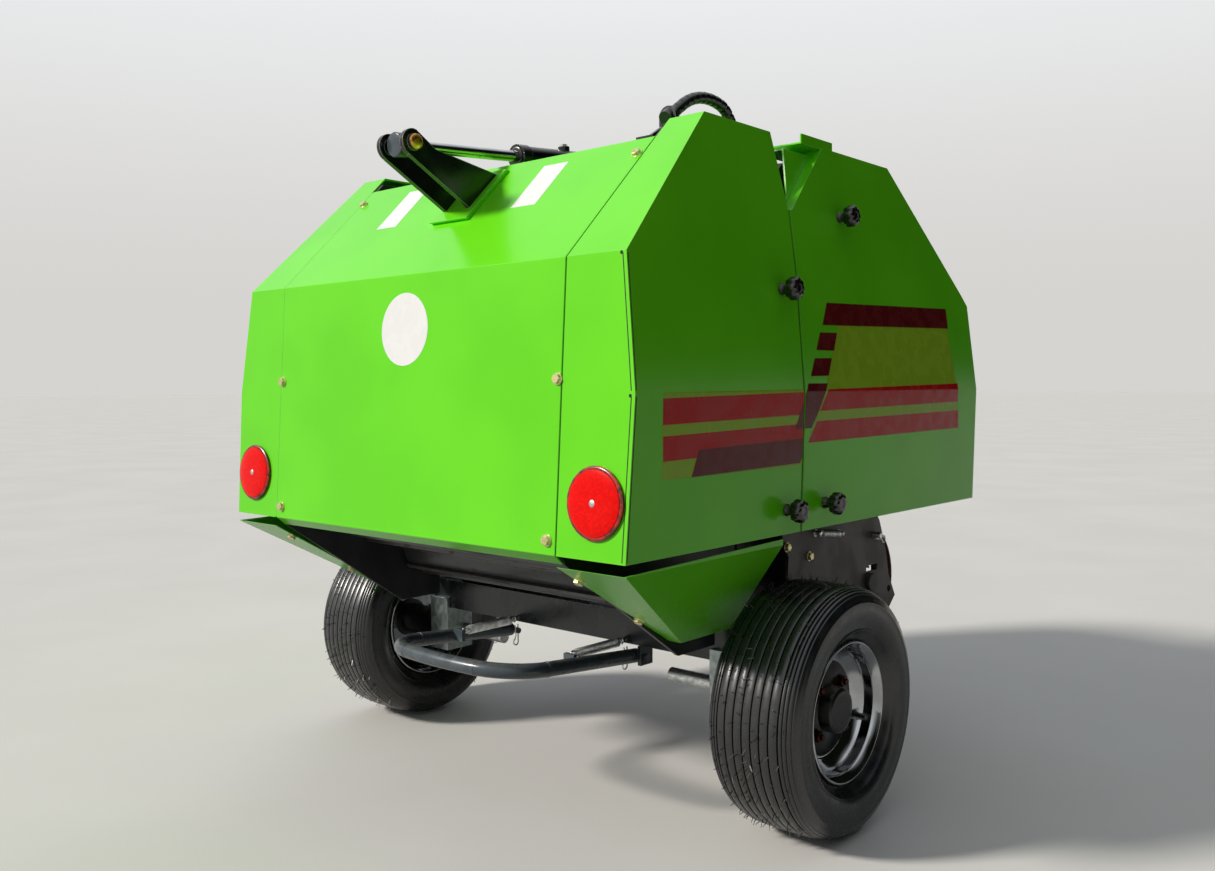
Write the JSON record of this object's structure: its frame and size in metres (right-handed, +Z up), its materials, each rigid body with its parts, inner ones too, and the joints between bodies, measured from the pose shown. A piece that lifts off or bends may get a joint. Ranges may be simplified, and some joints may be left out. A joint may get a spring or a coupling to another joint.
{
  "type": "mini round baler",
  "caption": "Three-point mounted mini round baler with a fixed roller chamber, lifting tailgate, tined pickup, bale kicker and two carrying wheels.",
  "frame": {"origin": "on the ground, midway between the machine's two sides and midway between its rearmost and frontmost points", "axes": "+Y is the direction of travel, along the machine's length; +X points to the right as seen from behind; +Z is up"},
  "size_m": [1.205, 1.2672, 1.2235],
  "materials": {
    "black_paint": "satin",
    "black_plastic": "matte",
    "body_paint": "gloss",
    "chrome": "polished",
    "frame_paint": "satin",
    "hose_rubber": "matte",
    "reflector": "gloss",
    "rubber": "matte",
    "tine_steel": "satin",
    "twine_paint": "satin",
    "zinc": "satin"
  },
  "bodies": {
    "chassis": {"chamber_side_left": "frame_paint", "chamber_side_right": "frame_paint", "front_hood": "body_paint", "front_shield_left": "body_paint", "front_shield_right": "body_paint", "axle_beam": "frame_paint", "wheel_legs": "zinc", "axle_stubs": "zinc", "front_rollers": "frame_paint", "front_frame": "frame_paint", "hitch_frame": "frame_paint", "gearbox": "frame_paint", "pickup_sides": "frame_paint", "pickup_bands": "frame_paint", "stand_sleeve": "frame_paint", "cylinder_clevis": "black_paint", "twine_box": "twine_paint", "front_knobs": "black_plastic", "kicker_springs": "zinc", "hydraulic_hose": "hose_rubber", "hose_fitting": "zinc"},
    "tailgate": {"rear_cover": "body_paint", "rear_shield_left": "body_paint", "rear_shield_right": "body_paint", "lower_wedge_left": "body_paint", "lower_wedge_right": "body_paint", "tailgate_side_left": "frame_paint", "tailgate_side_right": "frame_paint", "tailgate_rollers": "frame_paint", "cylinder_arm": "black_paint", "hose_bracket": "black_paint", "reflectors": "reflector", "rear_knobs": "black_plastic"},
    "wheel_left": {"tyre_left": "rubber", "rim_left": "chrome", "hub_left": "black_paint"},
    "wheel_right": {"tyre_right": "rubber", "rim_right": "chrome", "hub_right": "black_paint"},
    "kicker": {"kicker": "frame_paint"},
    "pickup_reel": {"pickup_reel": "tine_steel"},
    "pto_shaft": {"pto_shaft": "zinc"},
    "stand_leg": {"stand_leg": "frame_paint"},
    "cylinder_barrel": {"cylinder_barrel": "black_paint"},
    "cylinder_rod": {"cylinder_rod": "chrome"}
  },
  "joints": [
    {"name": "tailgate_lift", "type": "hinge", "parent": "chassis", "child": "tailgate", "pos_m": [0, -0.15644, 1.022], "axis": [-1, 0, 0], "range_deg": [0, 55], "deforming": ["hydraulic_hose"]},
    {"name": "barrel_tilt", "type": "hinge", "parent": "chassis", "child": "cylinder_barrel", "pos_m": [0, 0.17356, 1.188], "axis": [-1, 0, 0], "range_deg": [0, 32.3]},
    {"name": "rod_slide", "type": "slide", "parent": "cylinder_barrel", "child": "cylinder_rod", "axis": [0, -0.9966, -0.0828], "range_m": [-0.2148, 0]},
    {"name": "wheel_left_spin", "type": "hinge", "parent": "chassis", "child": "wheel_left", "pos_m": [-0.521, -0.17944, 0.203], "axis": [1, 0, 0], "continuous": true},
    {"name": "wheel_right_spin", "type": "hinge", "parent": "chassis", "child": "wheel_right", "pos_m": [0.521, -0.17944, 0.203], "axis": [1, 0, 0], "continuous": true},
    {"name": "kicker_drop", "type": "hinge", "parent": "chassis", "child": "kicker", "pos_m": [0, -0.21444, 0.235], "axis": [1, 0, 0], "range_deg": [0, 34], "stiffness_Nm_per_rad": 30, "springref_deg": -34.38, "deforming": ["kicker_springs"]},
    {"name": "reel_spin", "type": "hinge", "parent": "chassis", "child": "pickup_reel", "pos_m": [0, 0.20356, 0.342], "axis": [1, 0, 0], "continuous": true},
    {"name": "pto_spin", "type": "hinge", "parent": "chassis", "child": "pto_shaft", "pos_m": [0, 0.58856, 0.6103], "axis": [0, 1, 0], "continuous": true},
    {"name": "stand_slide", "type": "slide", "parent": "chassis", "child": "stand_leg", "axis": [0, 0, 1], "range_m": [0, 0.26]}
  ],
  "couplings": [
    {"joint": "barrel_tilt", "follows": "tailgate_lift", "ratio": 0.58398},
    {"joint": "rod_slide", "follows": "tailgate_lift", "m_per_rad": -0.22329}
  ]
}
